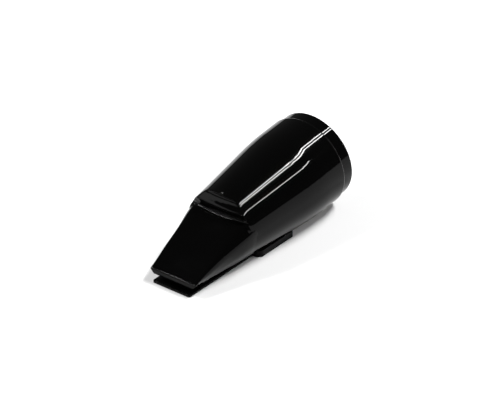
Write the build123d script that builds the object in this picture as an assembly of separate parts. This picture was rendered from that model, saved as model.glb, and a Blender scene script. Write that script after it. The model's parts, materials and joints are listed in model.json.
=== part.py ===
from build123d import *
from math import cos, radians, sin, sqrt, tan
import os

# ---------------------------------------------------------------- driving dimensions (mm)
# Frame: Z up, the nozzle points to -Y, the thumb pad faces +Y. The part rests on Z = 0.
# Stations called y are measured from the front edge of the sliding lip, and at() moves
# them to the row's frame. Stations called s run along the barrel's own tilted axis.
TILT = 4.93                     # barrel axis, degrees nose-down from level
AXIS_Z = 12.55                  # height of the barrel's axis above the lip's front edge
NOSE_RADIUS = 13.75             # barrel cone at s = 0
TAPER_END = 68.7                # end of the straight taper
TAPER_RADIUS = 20.93
BELLY_START = 86.0              # start of the parallel grip
BELLY_RADIUS = 22.0
SHOULDER = 97.0                 # where the barrel stops and the collar shows
RIM = 103.0                     # rear face of the collar
COLLAR_RADIUS = 21.15
DOME_TOP = 107.1                # crown of the thumb pad
WALL = 2.0                      # moulded wall of the nose and taper
BORE = 18.6                     # parallel bore behind the taper

LIP_Y = 1.35                    # front face of the upper lip
LIP_TOP = 6.3
LIP_BOTTOM = 3.8
BEAK_SLOPE = 27.2               # degrees, top face of the beak
BROW_Y = 34.1                   # step between the beak and the barrel
FOOT_STEP = 0.5                 # the step's foot stands this much ahead of its top
TIP_HALF = 12.95                # half-width of the beak at its lip
FOOT_HALF = 15.95               # and at the foot of the step
MERGE = 12.0                    # length over which its ridges sink into the barrel
SLOT_DEPTH = 18.0               # where the slot between the lips closes

PLATE_T = 1.1                   # sliding lip
PLATE_HALF = 10.45
WING_FRONT = 44.7
WING_REAR = 69.2
WING_INNER = 11.2
WING_HALF = 14.3
WING_TOP = 3.1
SLIDE_TRAVEL = 7.0

NOSE_FLOOR = 2.6                # floor of the air duct in the nose
CHAMBER_FLOOR = 5.2             # floor over the slide's pocket
KEEL_REAR = 84.0                # end of that raised floor
VALVE_R = 4.2                   # both check valve discs
RUN = 0.05                      # running clearance
SEAT_GAP = 0.3                  # soft disc to its seat

LENGTH = DOME_TOP * cos(radians(TILT))
HALF_LENGTH = LENGTH / 2
FAR = 60.0                      # beyond the part in any direction across its axis


# ---------------------------------------------------------------- helpers
def at(y):
    """Station behind the lip's front edge to row Y."""
    return y - HALF_LENGTH


def on_axis(shape):
    """Put a shape drawn about Z on the barrel's axis: its Z becomes the station s."""
    plane = Plane(
        origin=(0, at(0), AXIS_Z),
        x_dir=(1, 0, 0),
        z_dir=(0, cos(radians(TILT)), sin(radians(TILT))),
    )
    return plane.location * shape


def lathe(*points):
    """Turn a closed outline of (radius, s) corners about the barrel's axis."""
    face = make_face(Plane.XZ * Polyline(*points, close=True))
    return on_axis(revolve(face, Axis.Z))


def tube(r_out, r_in, s0, s1):
    """Plain ring on the barrel's axis."""
    return lathe((r_in, s0), (r_out, s0), (r_out, s1), (r_in, s1))


def rod(radius, s0, s1, offset=0.0, angle=0.0):
    """Round bar along the axis, or beside it at an offset and an angle round it."""
    height = s1 - s0
    bar = Cylinder(radius, height, align=(Align.CENTER, Align.CENTER, Align.MIN))
    return on_axis(Rot(0, 0, angle) * Pos(offset, 0, s0) * bar)


def block(x0, x1, y0, y1, z0, z1):
    """Box between corners, y given as a station behind the lip's front edge."""
    size = (x1 - x0, y1 - y0, z1 - z0)
    centre = ((x0 + x1) / 2, at((y0 + y1) / 2), (z0 + z1) / 2)
    return Pos(*centre) * Box(*size)


def side_cut(*points):
    """Prism right across X from an outline of (y, z) corners."""
    face = make_face(Polyline(*[(0, at(y), z) for y, z in points], close=True))
    return extrude(face, FAR, dir=(1, 0, 0), both=True)


def coil(radius, wire, s0, s1, turns):
    """Round-wire compression spring on the barrel's axis."""
    height = s1 - s0 - wire
    path = Helix(pitch=height / turns, height=height, radius=radius)
    section = Plane(path @ 0, z_dir=path % 0) * Circle(wire / 2)
    return on_axis(Pos(0, 0, s0 + wire / 2) * sweep(section, path=path, is_frenet=True))


def mirror_x(shape):
    return mirror(shape, about=Plane.YZ)


def in_region(edges, y_range, z_range):
    """Edges whose middle lies between two stations and two heights."""
    def inside(edge):
        middle = edge @ 0.5
        y = middle.Y + HALF_LENGTH
        return y_range[0] < y < y_range[1] and z_range[0] < middle.Z < z_range[1]
    return [edge for edge in edges if inside(edge)]


# ---------------------------------------------------------------- outer form of the barrel
def barrel_form(inset=0.0, end=SHOULDER):
    """Tapered barrel turned about its axis, with the whole surface moved in by inset."""
    nose = (NOSE_RADIUS - inset, 0)
    taper_end = (TAPER_RADIUS - inset, TAPER_END)
    belly = (BELLY_RADIUS - inset, BELLY_START)
    back = (BELLY_RADIUS - inset, end)
    taper = (TAPER_RADIUS - NOSE_RADIUS, TAPER_END)
    outline = Line((0, 0), nose)
    outline += Line(nose, taper_end)
    outline += Spline(taper_end, belly, tangents=[taper, (0, 1)])
    outline += Line(belly, back)
    outline += Line(back, (0, end))
    outline += Line((0, end), (0, 0))
    return on_axis(revolve(make_face(Plane.XZ * outline), Axis.Z))


def beak_z(y, offset=0.0):
    """Height of the beak's top face at a station, less a wall measured square to it."""
    slope = radians(BEAK_SLOPE)
    return LIP_TOP + (y - LIP_Y) * tan(slope) - offset / cos(slope)


def under_beak(offset=0.0):
    """Everything below the beak's top face."""
    front = (-FAR, beak_z(-FAR, offset))
    rear = (FAR, beak_z(FAR, offset))
    return side_cut(front, rear, (FAR, -FAR), (-FAR, -FAR))


def to_axis(y, z):
    """Station along the axis, and height over it, of a point of the mid-plane."""
    tilt, rise = radians(TILT), z - AXIS_Z
    return y * cos(tilt) + rise * sin(tilt), rise * cos(tilt) - y * sin(tilt)


TIP_S, TIP_RISE = to_axis(LIP_Y, LIP_TOP)
FOOT_S = to_axis(BROW_Y - FOOT_STEP, beak_z(BROW_Y - FOOT_STEP))[0]


def nose_section(s):
    """Half-section of the nose: flat top, soft ridge, and a flank that runs down into the cone.
    Behind the brow's foot the ridge sinks into the barrel, so the two forms merge cleanly."""
    share = (min(s, FOOT_S) - TIP_S) / (FOOT_S - TIP_S)
    merge = max(s - FOOT_S, 0) / MERGE
    soft = 0.9 + 2.3 * max(share, 0)
    top = TIP_RISE + (min(s, FOOT_S) - TIP_S) * tan(radians(BEAK_SLOPE - TILT))
    radius = NOSE_RADIUS + (TAPER_RADIUS - NOSE_RADIUS) * s / TAPER_END
    knee, low = -0.71 * radius, -0.93 * radius
    half = TIP_HALF + (FOOT_HALF - TIP_HALF) * share
    stretch = (half / sqrt(radius**2 - top**2) - 1) * (1 - merge)
    proud = 1.003 - 0.018 * merge

    def flank(z):
        return proud * sqrt(radius**2 - z**2) * (1 + stretch * max(0, (z - knee) / (top - knee)))

    edge = flank(top)
    high = top - 1.4 * soft
    heights = [low + (high - low) * step / 5 for step in range(6)]
    points = [(flank(z), z) for z in heights]
    points += [(edge - 0.35 * soft, top - 0.33 * soft), (edge - 1.5 * soft, top)]
    side = Spline(*points, tangents=[(0.93, 0.37), (-1, 0)])
    corners = [side @ 1, (0, top), (0, low), side @ 0]
    return on_axis(Pos(0, 0, s) * Rot(180, 0, 0) * make_face(side + Polyline(*corners)))


def nose_form():
    stations = [-2.5, TIP_S, 9.0, 17.5, 26.0, FOOT_S, FOOT_S + MERGE / 2, FOOT_S + MERGE]
    half = loft([nose_section(s) for s in stations])
    return half + mirror(half, about=Plane.YZ)


def brow_block():
    """Everything behind the brow: a cove over a bead, bowed in plan, swept out at its foot."""
    bow, sweep = 80.0, 1.3
    cove, bead = 1.1, -1.5
    turn = radians(90 - BEAK_SLOPE)
    toe_y = BROW_Y - FOOT_STEP - sweep * (1 - cos(turn))
    toe = Vector(0, at(toe_y), beak_z(toe_y))
    foot = Vector(0, at(BROW_Y - FOOT_STEP), toe.Z + sweep * sin(turn))
    top, waist, belly = [Vector(0, at(BROW_Y + y), z) for y, z in ((0, 34.4), (cove, 31.0), (bead, 27.7))]
    centre = at(BROW_Y + bow)
    face = Spline(top, waist, belly, foot, tangents=[(0, 0.35, -1), (0, 0, -1)])
    toe_arc = TangentArc(foot, toe, tangent=(0, 0, -1))
    buried = Vector(0, toe.Y - 1.0, toe.Z - 1.0)
    corners = [buried, (0, buried.Y, -FAR), (0, centre, -FAR), (0, centre, FAR), (0, top.Y, FAR), top]
    outline = face + toe_arc + Line(toe, buried) + Polyline(*corners)
    return revolve(make_face(outline), Axis((0, centre, 0), (0, 0, 1)))


def ahead_of_lip():
    """Everything in front of the upper lip, whose top edge it rounds off."""
    radius, slope = 0.9, radians(BEAK_SLOPE)
    reach = radius * tan((radians(90) - slope) / 2)
    start = Vector(0, at(LIP_Y + reach * cos(slope)), LIP_TOP + reach * sin(slope))
    end = Vector(0, at(LIP_Y), LIP_TOP - reach)
    arc = TangentArc(start, end, tangent=(0, -cos(slope), -sin(slope)))
    front = -2 * FAR
    corners = [end, (0, end.Y, -FAR), (0, front, -FAR), (0, front, FAR), (0, start.Y, FAR), start]
    return extrude(make_face(arc + Polyline(*corners)), FAR, dir=(1, 0, 0), both=True)


def round_shoulder(body):
    rear = [e for e in body.edges().filter_by(GeomType.CIRCLE) if e.radius > COLLAR_RADIUS + 0.5]
    return fillet(rear[-1], 1.4)


# ---------------------------------------------------------------- barrel
def duct(clearance=0.0):
    """Air space of the nose: wedge-shaped, with a flat floor."""
    wall = WALL + clearance
    space = barrel_form(wall) & under_beak(wall)
    return space & block(-FAR, FAR, 6, 60, NOSE_FLOOR + clearance, FAR)


def chamber(clearance=0.0):
    """Air chamber behind the brow, with a raised flat floor over the slide's pocket."""
    space = barrel_form(WALL + clearance, RIM) & rod(BORE - clearance, 0, RIM)
    front = block(-FAR, FAR, BROW_Y + 4.0, KEEL_REAR, CHAMBER_FLOOR + clearance, FAR)
    rear = block(-FAR, FAR, KEEL_REAR, RIM + 5, -FAR, FAR)
    return space & (front + rear)


def build_barrel():
    barrel = barrel_form()
    body = nose_form() + (barrel & brow_block()) + (barrel & rod(FAR, FOOT_S + 3, RIM))
    body = round_shoulder(body - ahead_of_lip())
    table = PLATE_T + RUN
    pocket_rear = WING_REAR + SLIDE_TRAVEL + 0.5
    body -= block(-FAR, FAR, -FAR, pocket_rear, -FAR, table)
    body -= block(-FAR, FAR, pocket_rear - 1, RIM, -FAR, 0)
    body -= side_cut((LIP_Y - 1, LIP_BOTTOM), (LIP_Y, LIP_BOTTOM), (SLOT_DEPTH, table), (LIP_Y - 1, table))
    for side in (-1, 1):
        x = sorted((side * (WING_INNER - 0.3), side * FAR))
        body -= block(*x, WING_FRONT - 0.3, pocket_rear, 0, WING_TOP + 0.1)
    body -= block(-5.2, 5.2, 44.5, 75.5, 0, 4.2)
    return body - duct() - chamber()


# ---------------------------------------------------------------- sliding lip and its guide
def build_lip_slide():
    tongue = block(-PLATE_HALF, PLATE_HALF, 0, WING_REAR, 0, PLATE_T)
    tongue = fillet(in_region(tongue.edges().filter_by(Axis.Z), (-1, 1), (0, PLATE_T)), 0.9)
    cross = block(-WING_HALF, WING_HALF, WING_FRONT, WING_REAR, 0, PLATE_T)
    wing = block(WING_INNER, WING_HALF, WING_FRONT, WING_REAR, 0, WING_TOP)
    slide = tongue + cross + wing + mirror_x(wing)
    outer = [e for e in slide.edges().filter_by(Axis.Z) if abs((e @ 0.5).X) > WING_HALF - 0.1]
    slide = fillet(in_region(outer, (WING_FRONT - 1, WING_FRONT + 1), (0, FAR)), 3.0)
    outer = [e for e in slide.edges().filter_by(Axis.Z) if abs((e @ 0.5).X) > WING_HALF - 0.1]
    slide = fillet(in_region(outer, (WING_REAR - 1, WING_REAR + 1), (0, FAR)), 1.4)
    web = block(-2.0, 2.0, 46, 66, PLATE_T - 0.1, 2.5)
    head = block(-3.85, 3.85, 46, 66, 2.4, 3.6)
    return slide + web + head


def build_guide_rail():
    sole = block(2.1, 5.15, 44.6, 75.4, 1.2, 2.3)
    wall = block(3.95, 5.15, 44.6, 75.4, 2.2, 4.15)
    return sole + wall


def build_brake_pad():
    return block(-3.5, 3.5, 50, 70, 3.65, 4.2)


# ---------------------------------------------------------------- collar, clamp, diaphragm
SPIGOT = BORE - RUN
SCREW_RING = 17.0               # radius of the clamp screws' circle
SCREW_ANGLES = [45, 135, 225, 315]


def build_collar():
    ring = lathe(
        (15.9, 88), (SPIGOT, 88), (SPIGOT, 91.4), (17.35, 91.4), (17.35, 92.8), (SPIGOT, 92.8),
        (SPIGOT, SHOULDER), (COLLAR_RADIUS, SHOULDER), (COLLAR_RADIUS, RIM), (15.9, RIM),
    )
    rim = [e for e in ring.edges().filter_by(GeomType.CIRCLE) if abs(e.radius - COLLAR_RADIUS) < 0.01]
    rim += [e for e in ring.edges().filter_by(GeomType.CIRCLE) if abs(e.radius - 15.9) < 0.01]
    ring = fillet([e for e in rim if (e @ 0).Y > at(RIM - 3.5)], 0.7)
    for angle in SCREW_ANGLES:
        ring -= rod(0.8, 87, 91, SCREW_RING, angle)
    return ring - block(-FAR, FAR, SHOULDER - 4, RIM + 2, -FAR, 0)


def build_collar_seal():
    return on_axis(Pos(0, 0, 92.1) * Torus(17.95, 0.58))


def build_clamp_ring():
    ring = tube(18.5, 15.2, 84.4, 87.2)
    for angle in SCREW_ANGLES:
        ring -= rod(0.85, 84, 88, SCREW_RING, angle)
    return ring


def build_clamp_screws():
    screws = []
    for angle in SCREW_ANGLES:
        screw = rod(1.3, 83.2, 84.4, SCREW_RING, angle) + rod(0.75, 84.3, 90.5, SCREW_RING, angle)
        screws.append(screw - rod(0.5, 83, 83.7, SCREW_RING, angle))
    return Compound(screws)


def build_diaphragm():
    """Rolling diaphragm: clamped flange, one fold, and a leg that grips the piston cup."""
    sleeve = lathe(
        (14.85, 87.2), (18.4, 87.2), (18.4, 88.0), (15.55, 88.0), (15.55, 94.0), (15.0, 95.4),
        (14.1, 95.4), (13.5, 94.0), (13.5, 86.5), (14.2, 86.5), (14.2, 93.6), (14.4, 94.5),
        (14.7, 94.5), (14.85, 93.6),
    )
    for angle in SCREW_ANGLES:
        sleeve -= rod(0.85, 87, 89, SCREW_RING, angle)
    return sleeve


# ---------------------------------------------------------------- thumb pad and piston
def build_thumb_pad():
    """Soft rubber dome with one air hole in its crown."""
    hole, edge, base, skirt = 1.4, 15.3, 100.0, 102.7
    crown = (hole, DOME_TOP - 0.05)
    outline = Line((hole, base), (edge, base))
    outline += Line((edge, base), (edge, skirt))
    outline += ThreePointArc((edge, skirt), (9.6, 105.15), crown)
    outline += Line(crown, (hole, base))
    return on_axis(revolve(make_face(Plane.XZ * outline), Axis.Z))


def build_piston_cup():
    cup = lathe(
        (2.6, 98.5), (11.8, 98.5), (11.8, 84.0), (13.2, 84.0), (13.2, 100.0), (2.6, 100.0),
    )
    return cup


def build_valve_cage(seat, nose_side):
    """Slotted cup that keeps a valve disc near its seat."""
    cage = lathe(
        (2.5, seat - nose_side), (5.6, seat - nose_side), (5.6, seat), (4.8, seat),
        (4.8, seat - nose_side + 1.0), (2.5, seat - nose_side + 1.0),
    )
    for angle in (0, 90, 180, 270):
        window = on_axis(Rot(0, 0, angle) * Pos(5, 0, seat - nose_side + 2.3) * Box(3, 3, 1.6))
        cage -= window
    return cage


def build_valve_disc(seat):
    return rod(VALVE_R, seat - SEAT_GAP - 1.1, seat - SEAT_GAP)


def build_intake_filter():
    return rod(2.55, 98.9, 99.9)


# ---------------------------------------------------------------- bulkhead and nozzle screen
BULKHEAD_S = (44.0, 47.0)
GASKET_S = (43.1, 44.0)


def build_bulkhead():
    disc = chamber(RUN) & rod(FAR, *BULKHEAD_S)
    disc -= rod(3.2, BULKHEAD_S[0] - 1, BULKHEAD_S[1] + 1)
    ridge = tube(7.6, 6.6, BULKHEAD_S[1] - 0.1, BULKHEAD_S[1] + 1.5)
    return disc + ridge


def build_gasket():
    lip = 1.8
    plate = chamber(0.1) & rod(FAR, *GASKET_S)
    middle = chamber(0.1 + lip) & rod(FAR, GASKET_S[0] - 1, GASKET_S[1] + 1)
    return plate - middle


def build_nozzle_screen():
    y, thickness, pitch, hole = 22.0, 1.2, 2.4, 0.75
    screen = duct(RUN) & block(-FAR, FAR, y, y + thickness, -FAR, FAR)
    holes = []
    for row in range(5):
        z = 4.6 + row * pitch
        columns = 4 - (row % 2)
        for column in range(-columns, columns + 1):
            x = (column + 0.5 * (row % 2)) * pitch
            if abs(x) < 9.5 - 0.1 * row:
                bar = Cylinder(hole, 2 * thickness, rotation=(90, 0, 0))
                holes.append(Pos(x, at(y + thickness / 2), z) * bar)
    top = beak_z(y, WALL) - 1.6
    return screen - [h for h in holes if h.center().Z < top]


# ---------------------------------------------------------------- write one STEP per node
os.makedirs("parts", exist_ok=True)

RAIL = build_guide_rail()
NODES = {
    "barrel_shell": build_barrel(),
    "rear_collar": build_collar(),
    "collar_seal": build_collar_seal(),
    "clamp_ring": build_clamp_ring(),
    "clamp_screws": build_clamp_screws(),
    "rolling_diaphragm": build_diaphragm(),
    "bulkhead": build_bulkhead(),
    "bulkhead_gasket": build_gasket(),
    "outlet_cage": build_valve_cage(BULKHEAD_S[0], 5.4),
    "outlet_disc": build_valve_disc(BULKHEAD_S[0]),
    "outlet_spring": coil(3.2, 0.4, 39.65, 42.55, 3),
    "nozzle_screen": build_nozzle_screen(),
    "return_spring": coil(8.9, 1.1, 47.0, 98.5, 9),
    "thumb_pad": build_thumb_pad(),
    "piston_cup": build_piston_cup(),
    "intake_cage": build_valve_cage(98.5, 4.6),
    "intake_disc": build_valve_disc(98.5),
    "intake_filter": build_intake_filter(),
    "lip_slide": build_lip_slide(),
    "guide_rail_right": RAIL,
    "guide_rail_left": mirror_x(RAIL),
    "brake_pad": build_brake_pad(),
}

for name, shape in NODES.items():
    export_step(shape, f"parts/{name}.step")
    print(name, round(shape.volume, 1))
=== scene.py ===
# %% [markdown]
# # A hand dust blower in Blender
# The blower is a hard, glossy, tapered barrel that is held in the palm. A rubber pad in its rear
# collar is pumped with the thumb, and the air leaves through the thin slot between the beak
# and the sliding lower lip. The engineering model is loaded first and never moved: every
# piece below is put where that model says, in metres, with +Z up and the beak towards -Y.

# %% Load the engineering frame
import json
import math

import bpy
from mathutils import Matrix, Vector


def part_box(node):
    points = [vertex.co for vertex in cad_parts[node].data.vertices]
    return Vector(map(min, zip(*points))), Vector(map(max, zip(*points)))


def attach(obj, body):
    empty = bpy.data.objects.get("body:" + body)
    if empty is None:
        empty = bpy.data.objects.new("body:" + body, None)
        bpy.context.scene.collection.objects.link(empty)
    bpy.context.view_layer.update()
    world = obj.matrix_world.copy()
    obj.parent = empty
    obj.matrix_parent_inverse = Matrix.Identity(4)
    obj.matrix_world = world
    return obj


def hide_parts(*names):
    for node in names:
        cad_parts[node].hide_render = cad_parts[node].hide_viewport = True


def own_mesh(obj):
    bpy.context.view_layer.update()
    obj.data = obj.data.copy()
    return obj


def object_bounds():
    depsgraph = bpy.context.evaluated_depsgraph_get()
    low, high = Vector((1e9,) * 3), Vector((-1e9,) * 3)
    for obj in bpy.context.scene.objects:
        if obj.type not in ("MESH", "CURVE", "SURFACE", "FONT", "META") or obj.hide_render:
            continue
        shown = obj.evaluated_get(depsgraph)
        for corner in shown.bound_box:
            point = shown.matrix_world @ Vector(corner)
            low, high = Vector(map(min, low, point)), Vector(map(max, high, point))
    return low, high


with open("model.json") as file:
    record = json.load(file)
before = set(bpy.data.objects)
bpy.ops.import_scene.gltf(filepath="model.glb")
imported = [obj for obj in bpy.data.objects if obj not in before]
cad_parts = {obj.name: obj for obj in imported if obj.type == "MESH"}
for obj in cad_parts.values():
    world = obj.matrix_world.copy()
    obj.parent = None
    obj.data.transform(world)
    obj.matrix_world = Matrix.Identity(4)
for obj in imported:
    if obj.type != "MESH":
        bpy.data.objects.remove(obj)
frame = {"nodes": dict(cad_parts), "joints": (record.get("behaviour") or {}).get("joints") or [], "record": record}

CAD_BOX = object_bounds()
MM = 0.001
MERGE = 0.001 * MM              # vertices nearer than this are made one
print("engineering box (mm):", [[round(v / MM, 1) for v in corner] for corner in CAD_BOX])

# %% [markdown]
# ## The barrel's own axis
# The barrel leans a few degrees, nose down, and everything inside it is turned about that
# leaning axis. The thumb's push runs along it, so its direction is read from the joint, and a
# plain ring inside the barrel gives a point on it. Pieces are turned upright about the world's
# Z axis, which is easy to think about, and one matrix then leans them into place.

# %% Find the axis and measure along it
JOINT = {joint["name"]: joint for joint in frame["joints"]}
AXIS = -Vector(JOINT["thumb_press"]["axis"]).normalized()
RING_LOW, RING_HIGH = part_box("clamp_ring")
AXIS_POINT = (RING_LOW + RING_HIGH) / 2
LEAN = Vector((0, 0, 1)).rotation_difference(AXIS).to_matrix().to_4x4()
PLACE = Matrix.Translation(AXIS_POINT) @ LEAN


def reach(node):
    """Start and end of a node along the axis, and its inner and outer radius about it."""
    offsets = [v.co - AXIS_POINT for v in frame["nodes"][node].data.vertices]
    runs = [o.dot(AXIS) for o in offsets]
    radii = [(o - AXIS * run).length for o, run in zip(offsets, runs)]
    return min(runs), max(runs), min(radii), max(radii)


for node in ("rear_collar", "thumb_pad", "piston_cup", "return_spring"):
    print(node, "along and about the axis (mm):", [round(v / MM, 2) for v in reach(node)])

# %% [markdown]
# ## Camera
# A product picture like this is taken with a long lens from well back, so that the lines of
# the barrel stay nearly parallel. The camera stands to the right of the beak and looks down
# at about thirty degrees.

# %% Set up the camera
AZIMUTH, ELEVATION = math.radians(38.6), math.radians(31.7)
DISTANCE, LENS, SENSOR = 3.544, 572.6, 36.0
middle = (Vector(CAD_BOX[0]) + Vector(CAD_BOX[1])) / 2
aim = middle + Vector((2.9, -0.2, -1.6)) * MM
back = Vector((
    math.sin(AZIMUTH) * math.cos(ELEVATION),
    -math.cos(AZIMUTH) * math.cos(ELEVATION),
    math.sin(ELEVATION),
))
camera = bpy.data.objects.new("camera", bpy.data.cameras.new("camera"))
camera.data.lens, camera.data.sensor_width = LENS, SENSOR
camera.location = aim + back * DISTANCE
camera.rotation_euler = back.to_track_quat("Z", "Y").to_euler()
bpy.context.scene.collection.objects.link(camera)
bpy.context.scene.camera = camera
print("camera looks at (mm):", [round(v / MM, 1) for v in aim])

# %% [markdown]
# ## Colour helper and node helper
# Colours are picked as screen hex values, but the renderer works in linear light, so one
# function converts them. A second helper adds a shader node, sets its options and links its
# inputs in one line, which keeps each material short enough to read as a recipe.


# %% Define the two helpers
def linear(hex_colour):
    """Screen hex such as "#1a1a1c" to the renderer's linear colour."""
    parts = [int(hex_colour[i:i + 2], 16) / 255 for i in (1, 3, 5)]
    curve = [p / 12.92 if p <= 0.04045 else ((p + 0.055) / 1.055) ** 2.4 for p in parts]
    return (*curve, 1.0)


def add_node(tree, kind, inputs=None, **settings):
    """Add one node. Settings are its options; inputs are values, or sockets to link from."""
    made = tree.nodes.new(kind)
    for name, value in settings.items():
        setattr(made, name, value)
    for name, value in (inputs or {}).items():
        if isinstance(value, bpy.types.NodeSocket):
            tree.links.new(value, made.inputs[name])
        else:
            made.inputs[name].default_value = value
    return made


def start_finish(name, colour, roughness, ior=1.45, metallic=0.0):
    """A new material with its plain shader set; the recipe then adds its detail."""
    made = bpy.data.materials.new(name)
    made.use_nodes = True
    shader = made.node_tree.nodes["Principled BSDF"]
    shader.inputs["Base Color"].default_value = linear(colour)
    shader.inputs["Roughness"].default_value = roughness
    shader.inputs["IOR"].default_value = ior
    shader.inputs["Metallic"].default_value = metallic
    place = add_node(made.node_tree, "ShaderNodeTexCoord").outputs["Object"]
    return made, made.node_tree, shader, place


def per_mm(feature_mm):
    """Pattern scale, in cycles per metre, for a feature of that size."""
    return 1000.0 / feature_mm


FINISH = {}

# %% [markdown]
# ## High-gloss black ABS
# The barrel and its collar are injection moulded in a mirror-polished tool. ABS copies the
# polish, so the eye sees near-black with sharp reflections that waver a little: the skin
# shrinks unevenly as it cools and leaves a very shallow orange peel, a few millimetres from
# crest to crest. Its reflection of the pale floor has to stay weak, or the black turns grey, so
# its specular level is set well under the default. Handling adds faint hairlines that only show
# inside a highlight. The real hairlines are about 0.02 mm wide, and are drawn at 0.15 mm so that
# they show at all.

# %% Make the gloss ABS
made, tree, shader, place = start_finish("gloss_moulded_black_abs", "#020202", 0.06, ior=1.53)
shader.inputs["Specular IOR Level"].default_value = 0.08
peel = add_node(tree, "ShaderNodeTexNoise", {"Vector": place, "Scale": per_mm(4.0), "Detail": 1.0})
stretch = add_node(tree, "ShaderNodeMapping", {"Vector": place, "Scale": (1.0, 0.06, 1.0)})
hairs = add_node(
    tree, "ShaderNodeTexNoise",
    {"Vector": stretch.outputs["Vector"], "Scale": per_mm(0.3), "Detail": 3.0, "Roughness": 0.6},
)
worn = add_node(tree, "ShaderNodeTexNoise", {"Vector": place, "Scale": per_mm(14.0), "Detail": 3.0})
grade = add_node(
    tree, "ShaderNodeMapRange",
    {"Value": worn.outputs["Fac"], "From Min": 0.4, "From Max": 0.75,
     "To Min": 0.04, "To Max": 0.08},
)
tree.links.new(grade.outputs["Result"], shader.inputs["Roughness"])
low_bump = add_node(
    tree, "ShaderNodeBump", {"Height": peel.outputs["Fac"], "Strength": 0.04, "Distance": 0.2 * MM}
)
fine_bump = add_node(
    tree, "ShaderNodeBump",
    {"Height": hairs.outputs["Fac"], "Strength": 0.03, "Distance": 0.02 * MM,
     "Normal": low_bump.outputs["Normal"]},
)
tree.links.new(fine_bump.outputs["Normal"], shader.inputs["Normal"])
FINISH["gloss_black_abs"] = made
print("made", made.name)

# %% [markdown]
# ## Satin black acetal
# The sliding lip is moulded in acetal, which is waxy and slides on itself without oil. Its tool
# is only fine-ground, so the surface is satin: a fine grain of about a tenth of a
# millimetre, drawn at 0.25 mm, spreads each highlight. Its specular level is low for the same
# reason as the barrel's.

# %% Make the satin acetal
made, tree, shader, place = start_finish("satin_moulded_black_acetal", "#030303", 0.24, ior=1.48)
shader.inputs["Specular IOR Level"].default_value = 0.07
grain = add_node(tree, "ShaderNodeTexNoise", {"Vector": place, "Scale": per_mm(0.5), "Detail": 4.0})
rubbed = add_node(
    tree, "ShaderNodeTexNoise", {"Vector": place, "Scale": per_mm(9.0), "Detail": 2.0}
)
grade = add_node(
    tree, "ShaderNodeMapRange",
    {"Value": rubbed.outputs["Fac"], "From Min": 0.35, "From Max": 0.7,
     "To Min": 0.2, "To Max": 0.34},
)
tree.links.new(grade.outputs["Result"], shader.inputs["Roughness"])
bump = add_node(
    tree, "ShaderNodeBump", {"Height": grain.outputs["Fac"], "Strength": 0.1, "Distance": 0.03 * MM}
)
tree.links.new(bump.outputs["Normal"], shader.inputs["Normal"])
FINISH["satin_black_acetal"] = made
print("made", made.name)

# %% [markdown]
# ## Moulded rubber
# The thumb pad, the rolling diaphragm, the seal and the gasket are black nitrile rubber.
# Rubber takes the texture of a spark-eroded tool, so it is matt, with a grain near 0.2 mm, and
# it scatters a little light at grazing angles like a very short cloth: that is the sheen.

# %% Make the rubber
made, tree, shader, place = start_finish("moulded_black_nitrile_rubber", "#151515", 0.62, ior=1.52)
shader.inputs["Sheen Weight"].default_value = 0.15
shader.inputs["Sheen Roughness"].default_value = 0.4
grain = add_node(tree, "ShaderNodeTexVoronoi", {"Vector": place, "Scale": per_mm(0.35)})
mottle = add_node(
    tree, "ShaderNodeTexNoise", {"Vector": place, "Scale": per_mm(5.0), "Detail": 4.0}
)
shade = add_node(tree, "ShaderNodeMix", {"Factor": mottle.outputs["Fac"]}, data_type="RGBA")
shade.inputs[6].default_value = linear("#101010")
shade.inputs[7].default_value = linear("#1e1e1e")
tree.links.new(shade.outputs[2], shader.inputs["Base Color"])
bump = add_node(
    tree, "ShaderNodeBump",
    {"Height": grain.outputs["Distance"], "Strength": 0.35, "Distance": 0.05 * MM},
)
tree.links.new(bump.outputs["Normal"], shader.inputs["Normal"])
FINISH["black_rubber"] = made
print("made", made.name)

# %% [markdown]
# ## Silicone, natural acetal and grey nylon
# The check-valve discs are red-brown silicone, soft and slightly see-through. The two guide rails
# are natural acetal, milky white. The cages, piston and bulkhead are grey nylon filled with
# short glass fibre, whose ends show as faint streaks of about a third of a millimetre.

# %% Make the three moulded plastics
made, tree, shader, place = start_finish("moulded_red_silicone", "#8e4433", 0.42, ior=1.41)
shader.inputs["Subsurface Weight"].default_value = 0.25
shader.inputs["Subsurface Radius"].default_value = (1.2 * MM, 0.5 * MM, 0.3 * MM)
cloud = add_node(tree, "ShaderNodeTexNoise", {"Vector": place, "Scale": per_mm(1.5), "Detail": 2.0})
bump = add_node(
    tree, "ShaderNodeBump", {"Height": cloud.outputs["Fac"], "Strength": 0.1, "Distance": 0.03 * MM}
)
tree.links.new(bump.outputs["Normal"], shader.inputs["Normal"])
FINISH["silicone_valve"] = made

made, tree, shader, place = start_finish("milled_natural_acetal", "#e6e3da", 0.35, ior=1.48)
shader.inputs["Subsurface Weight"].default_value = 0.3
shader.inputs["Subsurface Radius"].default_value = (1.5 * MM, 1.4 * MM, 1.2 * MM)
feed = add_node(
    tree, "ShaderNodeTexWave", {"Vector": place, "Scale": per_mm(1.3), "Distortion": 0.6},
    bands_direction="Y",
)
bump = add_node(
    tree, "ShaderNodeBump", {"Height": feed.outputs["Fac"], "Strength": 0.08, "Distance": 0.02 * MM}
)
tree.links.new(bump.outputs["Normal"], shader.inputs["Normal"])
FINISH["acetal_natural"] = made

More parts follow.
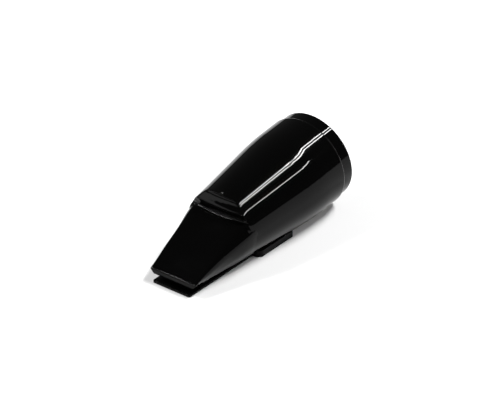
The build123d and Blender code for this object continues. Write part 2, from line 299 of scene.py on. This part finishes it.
made, tree, shader, place = start_finish("glass_filled_grey_nylon", "#7c7f82", 0.48, ior=1.53)
fibre_space = add_node(tree, "ShaderNodeMapping", {"Vector": place, "Scale": (1.0, 0.2, 1.0)})
fibres = add_node(
    tree, "ShaderNodeTexNoise",
    {"Vector": fibre_space.outputs["Vector"], "Scale": per_mm(0.5), "Detail": 3.0},
)
streak = add_node(tree, "ShaderNodeMix", {"Factor": fibres.outputs["Fac"]}, data_type="RGBA")
streak.inputs[6].default_value = linear("#6c6f72")
streak.inputs[7].default_value = linear("#8e9194")
tree.links.new(streak.outputs[2], shader.inputs["Base Color"])
bump = add_node(
    tree, "ShaderNodeBump",
    {"Height": fibres.outputs["Fac"], "Strength": 0.15, "Distance": 0.03 * MM},
)
tree.links.new(bump.outputs["Normal"], shader.inputs["Normal"])
FINISH["grey_nylon"] = made
print("made silicone, natural acetal and grey nylon")

# %% [markdown]
# ## Metals
# Spring wire is drawn through a die, which leaves fine lines along it. The clamp screws are
# nickel plated and tumbled, so they are bright with soft tool marks. The nozzle screen is etched
# from rolled stainless sheet and keeps the rolling lines. Metals keep the default IOR: their
# colour comes from the base colour at full metallic.

# %% Make the three metals
for slot, name, colour, rough, line_mm, squash_space in (
    ("spring_steel", "drawn_spring_wire", "#a7a8aa", 0.3, 0.2, (1.0, 1.0, 0.1)),
    ("screw_steel", "tumbled_nickel_plate", "#c9c6bd", 0.22, 0.5, (1.0, 1.0, 1.0)),
    ("screen_steel", "rolled_stainless_sheet", "#b4b6b8", 0.34, 0.25, (0.08, 1.0, 1.0)),
):
    made, tree, shader, place = start_finish(name, colour, rough, metallic=1.0)
    space = add_node(tree, "ShaderNodeMapping", {"Vector": place, "Scale": squash_space})
    lines = add_node(
        tree, "ShaderNodeTexNoise",
        {"Vector": space.outputs["Vector"], "Scale": per_mm(line_mm), "Detail": 3.0},
    )
    grade = add_node(
        tree, "ShaderNodeMapRange",
        {"Value": lines.outputs["Fac"], "To Min": rough - 0.08, "To Max": rough + 0.12},
    )
    tree.links.new(grade.outputs["Result"], shader.inputs["Roughness"])
    bump = add_node(
        tree, "ShaderNodeBump",
        {"Height": lines.outputs["Fac"], "Strength": 0.12, "Distance": 0.01 * MM},
    )
    tree.links.new(bump.outputs["Normal"], shader.inputs["Normal"])
    FINISH[slot] = made
    print("made", name)

# %% [markdown]
# ## Wool felt
# The brake strip under the lip and the little intake filter are pressed wool felt: a tangle of
# fibres with no weave. Two noises at different sizes give the tangle, and sheen
# gives the soft halo of loose fibre ends.

# %% Make the felt
made, tree, shader, place = start_finish("pressed_grey_wool_felt", "#6d6c69", 0.95, ior=1.5)
shader.inputs["Sheen Weight"].default_value = 0.6
shader.inputs["Sheen Roughness"].default_value = 0.5
tangle = add_node(
    tree, "ShaderNodeTexNoise",
    {"Vector": place, "Scale": per_mm(0.4), "Detail": 6.0, "Roughness": 0.75, "Distortion": 2.0},
)
wool = add_node(tree, "ShaderNodeMix", {"Factor": tangle.outputs["Fac"]}, data_type="RGBA")
wool.inputs[6].default_value = linear("#4f4e4c")
wool.inputs[7].default_value = linear("#8b8a86")
tree.links.new(wool.outputs[2], shader.inputs["Base Color"])
bump = add_node(
    tree, "ShaderNodeBump",
    {"Height": tangle.outputs["Fac"], "Strength": 0.7, "Distance": 0.15 * MM},
)
tree.links.new(bump.outputs["Normal"], shader.inputs["Normal"])
FINISH["felt"] = made
print("made", made.name)

# %% [markdown]
# ## Dress the engineering nodes
# Each node already names the finish it is made in. A node whose shape is right keeps its mesh
# and only gets its material.

# %% Give every node its finish
SLOT = {part["node"]: part["material_slot"] for part in frame["record"]["subparts"]}
for name, node in frame["nodes"].items():
    node.data.materials.clear()
    node.data.materials.append(FINISH[SLOT[name]])
print("dressed", len(SLOT), "nodes")

# %% [markdown]
# ## Turned pieces
# Rings, discs and domes are all turned shapes. One vertex is walked along the outline by
# extruding it, and the Spin tool sweeps the outline round in a full turn. The doubles on the
# seam and at the pole are merged, and the normals recalculated, because a full spin can leave
# a shape inside out.


# %% Define the turning and placing helpers
def edit():
    """Open the active object's mesh with all its vertices selected."""
    bpy.ops.object.mode_set(mode="EDIT")
    bpy.ops.mesh.select_mode(type="VERT")
    bpy.ops.mesh.select_all(action="SELECT")


def leave_edit():
    """Close the mesh again."""
    bpy.ops.object.mode_set(mode="OBJECT")


def only(piece):
    """Make this the one selected and active object."""
    bpy.ops.object.select_all(action="DESELECT")
    piece.select_set(True)
    bpy.context.view_layer.objects.active = piece


def turn(name, outline, sides=96):
    """Turn a closed outline of (radius, run) corners about the upright axis."""
    bpy.ops.object.select_all(action="DESELECT")
    bpy.ops.mesh.primitive_plane_add(size=MM)
    piece = bpy.context.object
    piece.name = piece.data.name = name
    edit()
    bpy.ops.mesh.merge(type="CENTER")
    bpy.ops.transform.translate(value=(outline[0][0], 0, outline[0][1]))
    for (r0, z0), (r1, z1) in zip(outline, outline[1:] + outline[:1]):
        bpy.ops.mesh.extrude_region_move(TRANSFORM_OT_translate={"value": (r1 - r0, 0, z1 - z0)})
    bpy.ops.mesh.select_all(action="SELECT")
    bpy.ops.mesh.remove_doubles(threshold=MERGE)
    bpy.ops.mesh.spin(steps=sides, angle=math.tau, center=(0, 0, 0), axis=(0, 0, 1))
    bpy.ops.mesh.select_all(action="SELECT")
    bpy.ops.mesh.remove_doubles(threshold=2 * MERGE)
    bpy.ops.mesh.normals_make_consistent(inside=False)
    leave_edit()
    return piece


def finish_piece(piece, body, slot, replaced=None, sharp=35.0, matrix=PLACE):
    """Lean a piece into place, smooth it, dress it and let it ride on its body."""
    only(piece)
    piece.matrix_world = matrix @ piece.matrix_world
    bpy.ops.object.transform_apply(location=True, rotation=True, scale=True)
    bpy.ops.object.shade_smooth_by_angle(angle=math.radians(sharp))
    piece.data.materials.clear()
    piece.data.materials.append(FINISH[slot])
    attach(piece, body)
    if replaced:
        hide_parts(replaced)
    print(piece.name, len(piece.data.polygons), "faces, rides on", body)


def arc(centre, radius, start, end, steps):
    """Points of an arc in the outline's plane; angles in degrees, 0 outwards, 90 rearwards."""
    angles = [math.radians(start + (end - start) * i / steps) for i in range(steps + 1)]
    return [(centre[0] + radius * math.cos(a), centre[1] + radius * math.sin(a)) for a in angles]


# %% [markdown]
# ## Thumb pad
# The pad is a soft rubber dome moulded over the piston. Rings moulded into its top give the
# thumb a grip, and the small hole in the crown lets the air in behind the valve. Its outline
# follows an arc from the rim to the crown, and a gentle wave along that arc makes the rings.

# %% Turn the thumb pad
RINGS, RING_DEPTH, RING_START, RING_SPAN = 4, 0.32 * MM, 0.12, 0.68
BASE_EDGE, SKIRT_EDGE, HOLE_EDGE = 0.4 * MM, 0.5 * MM, 0.5 * MM
DOME_STEPS = 72
low, high, hole, rim = reach("thumb_pad")
skirt = low + 2.7 * MM
crown_rise = high - skirt
dome_radius = (rim**2 + crown_rise**2) / (2 * crown_rise)
dome_centre = high - dome_radius
outline = [(hole, low), (rim - BASE_EDGE, low)]
outline += arc((rim - BASE_EDGE, low + BASE_EDGE), BASE_EDGE, -90, 0, 4)[1:]
outline += [(rim, skirt - SKIRT_EDGE)]
for i in range(DOME_STEPS + 1):
    share = i / DOME_STEPS
    radius = rim * (1 - share) + (hole + HOLE_EDGE) * share
    wave = RINGS * min(max((share - RING_START) / RING_SPAN, 0), 1)
    grip = 0.5 - 0.5 * math.cos(math.tau * wave)
    height = dome_centre + math.sqrt(dome_radius**2 - radius**2) - RING_DEPTH * grip
    outline.append((radius, min(height, high)))
outline += arc((hole + HOLE_EDGE, outline[-1][1] - HOLE_EDGE), HOLE_EDGE, 90, 180, 4)[1:]
thumb_pad = turn("thumb_pad_dome", outline, sides=144)
finish_piece(thumb_pad, "thumb", "black_rubber", "thumb_pad", sharp=50)

# %% [markdown]
# ## Rolling diaphragm
# A rolling diaphragm seals the piston without rubbing: a thin rubber sleeve, clamped at its
# flange, rolls over on itself as the piston moves. When the piston goes in, its inner leg
# goes with it and the fold follows at half the pace. It is modelled as two pieces
# with one finish: the leg that grips the piston, which rides on the thumb, and the clamped
# flange with the fold, which rides on the barrel and keeps its shape.

# %% Turn the diaphragm's two pieces
low, high, _, flange = reach("rolling_diaphragm")
_, _, _, cup = reach("piston_cup")
clamp_face = reach("clamp_ring")[1]
flange_top = clamp_face + 0.8 * MM
fold_radius, skin, leg_gap, chamfer, root = 1.02 * MM, 0.65 * MM, 0.3 * MM, 0.2 * MM, 0.3 * MM
inside = cup + leg_gap
outer = inside + 2 * fold_radius
fold_centre = (inside + fold_radius, high - fold_radius)
outline = [(outer - skin, clamp_face), (flange - chamfer, clamp_face)]
outline += [(flange, clamp_face + chamfer), (flange, flange_top - chamfer)]
outline += [(flange - chamfer, flange_top), (outer + root, flange_top), (outer, flange_top + root)]
outline += arc(fold_centre, fold_radius, 0, 180, 14)
outline += [(inside, clamp_face), (inside + skin, clamp_face)]
outline += arc(fold_centre, fold_radius - skin, 180, 0, 10)
fold = turn("diaphragm_fold", outline)
finish_piece(fold, "barrel", "black_rubber", "rolling_diaphragm")
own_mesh(fold)

hair, taper, leg_top = 0.02 * MM, 0.5 * MM, high - 2.2 * MM
outline = [(cup + hair, low), (cup + skin, low), (inside + skin - hair, low + taper)]
outline += [(inside + skin - hair, leg_top), (cup + hair, leg_top)]
leg = turn("diaphragm_leg", outline)
finish_piece(leg, "thumb", "black_rubber")

# %% [markdown]
# ## Springs
# A compression spring is wound with closed ends: the first and the last turn lie flat against
# their neighbours so that the spring stands square. The helix is one smooth curve whose pitch is
# small for the end turns and even between them. The round wire is the curve's bevel.


# %% Wind the two springs
def wind(name, radius, wire, start, end, turns):
    """Round-wire compression spring with one closed turn at each end."""
    rise = end - start - wire
    closed = 1.05 * wire
    per_turn = 24
    line = bpy.data.curves.new(name, "CURVE")
    line.dimensions, line.bevel_depth, line.bevel_resolution = "3D", wire / 2, 3
    line.use_fill_caps = True
    spline = line.splines.new("NURBS")
    count = int((turns + 2) * per_turn) + 1
    spline.points.add(count - 1)
    for i in range(count):
        turned = i / per_turn
        middle_turns = min(max(turned - 1, 0), turns)
        ends = min(turned, 1) + max(turned - 1 - turns, 0)
        height = start + wire / 2 + ends * closed + middle_turns * (rise - 2 * closed) / turns
        angle = math.tau * turned
        spline.points[i].co = (radius * math.cos(angle), radius * math.sin(angle), height, 1)
    spline.order_u, spline.use_endpoint_u = 4, True
    piece = bpy.data.objects.new(name, line)
    bpy.context.scene.collection.objects.link(piece)
    only(piece)
    bpy.ops.object.convert(target="MESH")
    return bpy.context.object


low, high, inner, outer = reach("return_spring")
wire = outer - inner
spring = wind("return_spring_coil", (inner + outer) / 2, wire, low, high, 8)
finish_piece(spring, "barrel", "spring_steel", "return_spring", sharp=60)
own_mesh(spring)

low, high, inner, outer = reach("outlet_spring")
small = wind("outlet_spring_coil", (inner + outer) / 2, outer - inner, low, high, 2)
finish_piece(small, "barrel", "spring_steel", "outlet_spring", sharp=60)
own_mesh(small)

# %% [markdown]
# ## Valve discs
# Each check valve is a loose silicone disc. A thin bead round its rim seals on the seat, and a
# pip in the middle is where the mould was filled.

# %% Turn the two valve discs
BEAD, RECESS, PIP_R, PIP_TOP = 0.3 * MM, 0.25 * MM, 0.7 * MM, 0.05 * MM
for node, body in (("intake_disc", "intake_valve"), ("outlet_disc", "outlet_valve")):
    low, high, _, rim = reach(node)
    outline = [(0, low + RECESS), (rim - 4 * BEAD, low + RECESS), (rim - 0.8 * MM, low)]
    outline += [(rim - RECESS, low)] + arc((rim - RECESS, low + RECESS), RECESS, -60, 0, 3)
    outline += arc((rim - BEAD, high - BEAD), BEAD, 0, 180, 8)
    outline += [(rim - 2.2 * BEAD, high - BEAD), (PIP_R, high - BEAD)]
    outline += [(PIP_R - 0.15 * MM, high - PIP_TOP), (0, high - PIP_TOP)]
    disc = turn(node + "_silicone", outline, sides=72)
    finish_piece(disc, body, "silicone_valve", node)

# %% [markdown]
# ## Clamp screws
# Four small screws pull the clamp ring against the diaphragm. Each is turned with a
# domed head and a threaded shank, then a hexagonal key is cut into the head with a
# Boolean modifier. One screw is modelled, and the others are copies turned about the axis.

# %% Turn one screw and copy it
low, high, _, _ = reach("clamp_screws")
PITCH, THREAD_DEPTH, HEAD_R, HEAD_H, SHANK_R = 0.5 * MM, 0.16 * MM, 1.3 * MM, 1.2 * MM, 0.75 * MM
HEAD_ROUND, SCREW_CIRCLE = 0.35 * MM, 17.0 * MM
outline = [(0, 0), (HEAD_R - HEAD_ROUND, 0)]
outline += arc((HEAD_R - HEAD_ROUND, HEAD_ROUND), HEAD_ROUND, -70, 0, 4)
outline += [(HEAD_R, HEAD_H), (SHANK_R, HEAD_H)]
run = HEAD_H + 0.6 * MM
length = high - low
while run + PITCH < length - 0.7 * MM:
    outline += [(SHANK_R - THREAD_DEPTH, run + 0.2 * PITCH), (SHANK_R, run + 0.55 * PITCH)]
    outline += [(SHANK_R, run + 0.7 * PITCH), (SHANK_R - THREAD_DEPTH, run + PITCH)]
    run += PITCH
outline += [(SHANK_R - 0.2 * MM, length - 0.4 * MM), (0.2 * MM, length), (0, length)]
screw = turn("clamp_screw", outline, sides=48)
bpy.ops.object.select_all(action="DESELECT")
bpy.ops.mesh.primitive_cylinder_add(vertices=6, radius=0.6 * MM, depth=1.5 * MM, location=(0, 0, 0))
key = bpy.context.object
only(screw)
cut = screw.modifiers.new("key", "BOOLEAN")
cut.object, cut.operation, cut.solver = key, "DIFFERENCE", "EXACT"
bpy.ops.object.modifier_apply(modifier="key")
bpy.data.objects.remove(key)
for index, angle in enumerate((45, 135, 225, 315)):
    copy = screw.copy()
    copy.data = screw.data.copy()
    copy.name = f"clamp_screw_{index + 1}"
    bpy.context.scene.collection.objects.link(copy)
    spot = Matrix.Rotation(math.radians(angle), 4, "Z") @ Matrix.Translation((SCREW_CIRCLE, 0, low))
    copy.matrix_world = spot
    finish_piece(copy, "barrel", "screw_steel", "clamp_screws")
bpy.data.objects.remove(screw)

# %% [markdown]
# ## Felt pieces
# Felt is cut from sheet with a knife, so its corners are square at first and soften as it is
# handled. A block and a turned plug are given many small faces, and a little noise then pushes
# their skin inwards, so that they stay inside the engineering size.

# %% Cut the brake strip and the intake filter
fuzz = bpy.data.textures.new("felt_fuzz", "CLOUDS")
fuzz.noise_scale = 0.6 * MM
FUZZ_DEPTH = 0.06 * MM


def roughen(piece):
    """Soften a piece's edges and push its skin in like pressed fibre."""
    only(piece)
    soften = piece.modifiers.new("soften", "BEVEL")
    soften.width, soften.segments, soften.limit_method = 0.08 * MM, 2, "ANGLE"
    lumps = piece.modifiers.new("lumps", "DISPLACE")
    lumps.texture, lumps.strength, lumps.mid_level = fuzz, FUZZ_DEPTH, 1.0
    bpy.ops.object.modifier_apply(modifier="soften")
    bpy.ops.object.modifier_apply(modifier="lumps")


low_corner, high_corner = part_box("brake_pad")
bpy.ops.object.select_all(action="DESELECT")
bpy.ops.mesh.primitive_cube_add(size=1, location=(low_corner + high_corner) / 2)
brake = bpy.context.object
brake.name = brake.data.name = "brake_strip_felt"
brake.scale = high_corner - low_corner
bpy.ops.object.transform_apply(location=False, rotation=False, scale=True)
edit()
bpy.ops.mesh.subdivide(number_cuts=30)
leave_edit()
roughen(brake)
finish_piece(brake, "barrel", "felt", "brake_pad", matrix=Matrix())

low, high, _, rim = reach("intake_filter")
outline = [(0, low)] + [(rim * i / 8, low) for i in range(1, 9)]
outline += [(rim, low + (high - low) * i / 5) for i in range(1, 6)]
outline += [(rim * (8 - i) / 8, high) for i in range(1, 8)] + [(0, high)]
wad = turn("intake_filter_felt", outline, sides=48)
roughen(wad)
finish_piece(wad, "thumb", "felt", "intake_filter", sharp=60)

# %% [markdown]
# ## Moulded skins
# A moulded edge is never a knife edge: the tool leaves a radius of a tenth or two of a
# millimetre, and that radius is what catches the light. A copy of the engineering mesh is
# merged into one skin. On the flat pieces, coplanar triangles are dissolved and a Bevel
# modifier rounds every edge that is sharper than the limit. The barrel already has its real
# radii, so it is only merged. A Weighted Normal modifier then evens the shading, because the
# engineering triangles are long and thin and would bend the highlights.


# %% Merge the barrel, and round the lip slide and the gasket
def soft_edged(node, name, width, body, segments=3):
    """Merged copy of an engineering node, with its sharp edges rounded to a width."""
    source = frame["nodes"][node]
    piece = source.copy()
    piece.data = source.data.copy()
    for key in [k for k in piece.keys() if k.startswith("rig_")]:
        del piece[key]
    piece.parent = None
    piece.name = piece.data.name = name
    bpy.context.scene.collection.objects.link(piece)
    only(piece)
    edit()
    bpy.ops.mesh.remove_doubles(threshold=MERGE)
    if width:
        bpy.ops.mesh.dissolve_limited(angle_limit=math.radians(1.0))
    leave_edit()
    if width:
        rounding = piece.modifiers.new("moulded_edge", "BEVEL")
        rounding.width, rounding.segments = width, segments
        rounding.limit_method, rounding.angle_limit = "ANGLE", math.radians(40)
        bpy.ops.object.modifier_apply(modifier="moulded_edge")
    finish_piece(piece, body, SLOT[node], node, matrix=Matrix())
    shading = piece.modifiers.new("even_shading", "WEIGHTED_NORMAL")
    shading.mode, shading.weight, shading.keep_sharp = "FACE_AREA_WITH_ANGLE", 50, True
    bpy.ops.object.modifier_apply(modifier="even_shading")


soft_edged("barrel_shell", "moulded_barrel", 0, "barrel")
soft_edged("lip_slide", "sliding_lower_lip", 0.14 * MM, "slide")
soft_edged("bulkhead_gasket", "bulkhead_gasket_rubber", 0.15 * MM, "barrel", 2)

# %% [markdown]
# ## Floor and light
# Gloss black shows nothing but its surroundings, so the lights are really part of the
# material. A pair of long, narrow tubes behind and above draws the bright double line along the
# barrel, a lower tube on the right draws the thin line beside it, and a short one adds a glint
# to the shoulder. A small tube on the left lights the foot of the brow, a broad dim panel in
# front lifts the brow and the lip, and the pale floor glows in the flanks. The rest of the
# room stays dark.

# %% Lay the floor
bpy.ops.object.select_all(action="DESELECT")
bpy.ops.mesh.primitive_plane_add(size=6.0, location=(0, 0, 0))
floor = bpy.context.object
floor.name = "floor"
floor.data.materials.append(start_finish("pale_matt_paper", "#d4d4d4", 0.9)[0])
print("floor laid under the blower")


# %% Hang the lights
CM2_PER_M2 = 1e4
OVERLAP = 1.04


def lamp(name, middle_way, along, distance, length, width, glow):
    """Rectangular light facing the blower. Glow is its power per square centimetre."""
    light = bpy.data.lights.new(name, "AREA")
    light.shape, light.size, light.size_y = "RECTANGLE", length, width
    light.energy = glow * length * width * CM2_PER_M2
    holder = bpy.data.objects.new(name, light)
    facing = middle_way.normalized()
    side = (along - facing * along.dot(facing)).normalized()
    turned = Matrix((side, facing.cross(side), facing)).transposed()
    holder.matrix_world = Matrix.Translation(middle + facing * distance) @ turned.to_4x4()
    bpy.context.scene.collection.objects.link(holder)


def strip(name, ways, width, glow, distance=1.2):
    """A bent tube of light seen in these directions, with a lamp between each two of them."""
    for index, (start, end) in enumerate(zip(ways, ways[1:])):
        run = (end - start) * distance
        length = run.length * OVERLAP
        lamp(f"{name}_{index + 1}", (start + end) / 2, run, distance, length, width, glow)
    print(name, "has", len(ways) - 1, "lamps")


ROUND_BARREL = Vector((0.78, 0.0, -0.63))
TOP_PAIR_SPREAD = 0.042
TOP_TUBE = [(0.44, 0.24, 0.90), (0.367, 0.437, 0.818), (0.232, 0.52, 0.822), (0.155, 0.70, 0.73)]
SIDE_TUBE = [(0.76, 0.27, 0.63), (0.68, 0.45, 0.585), (0.60, 0.50, 0.615)]
SHOULDER_TUBE = [(0.53, 0.66, 0.53), (0.52, 0.69, 0.51)]
BROW_TUBE = [(-0.48, -0.30, 0.83), (-0.68, -0.24, 0.68)]
for name, offset in (("left", -TOP_PAIR_SPREAD), ("right", TOP_PAIR_SPREAD)):
    strip("top_tube_" + name, [Vector(w) + ROUND_BARREL * offset for w in TOP_TUBE], 0.024, 0.056)
strip("side_tube", [Vector(w) for w in SIDE_TUBE], 0.02, 0.04)
strip("shoulder_glint", [Vector(w) for w in SHOULDER_TUBE], 0.03, 0.07)
strip("brow_tube", [Vector(w) for w in BROW_TUBE], 0.09, 0.05)
lamp("front_panel", Vector((-0.60, -0.62, 0.45)), Vector((1, -1, 0)), 1.4, 0.9, 0.5, 0.0008)
lamp("floor_fill", Vector((0.35, 0.90, 0.25)), Vector((1, 0, 0)), 1.6, 1.2, 0.4, 0.0003)

# %% [markdown]
# ## Dim room
# A little even light from all round keeps the unlit sides from going fully black, and the
# Standard view shows the lights' values as they are, so a bright line stays crisp.

# %% Set the room's light and the view
ROOM_GLOW = 0.12
world = bpy.data.worlds.new("dim_room")
world.use_nodes = True
world.node_tree.nodes["Background"].inputs["Color"].default_value = (1, 1, 1, 1)
world.node_tree.nodes["Background"].inputs["Strength"].default_value = ROOM_GLOW
bpy.context.scene.world = world
bpy.context.scene.view_settings.view_transform = "Standard"
print("room light:", ROOM_GLOW)
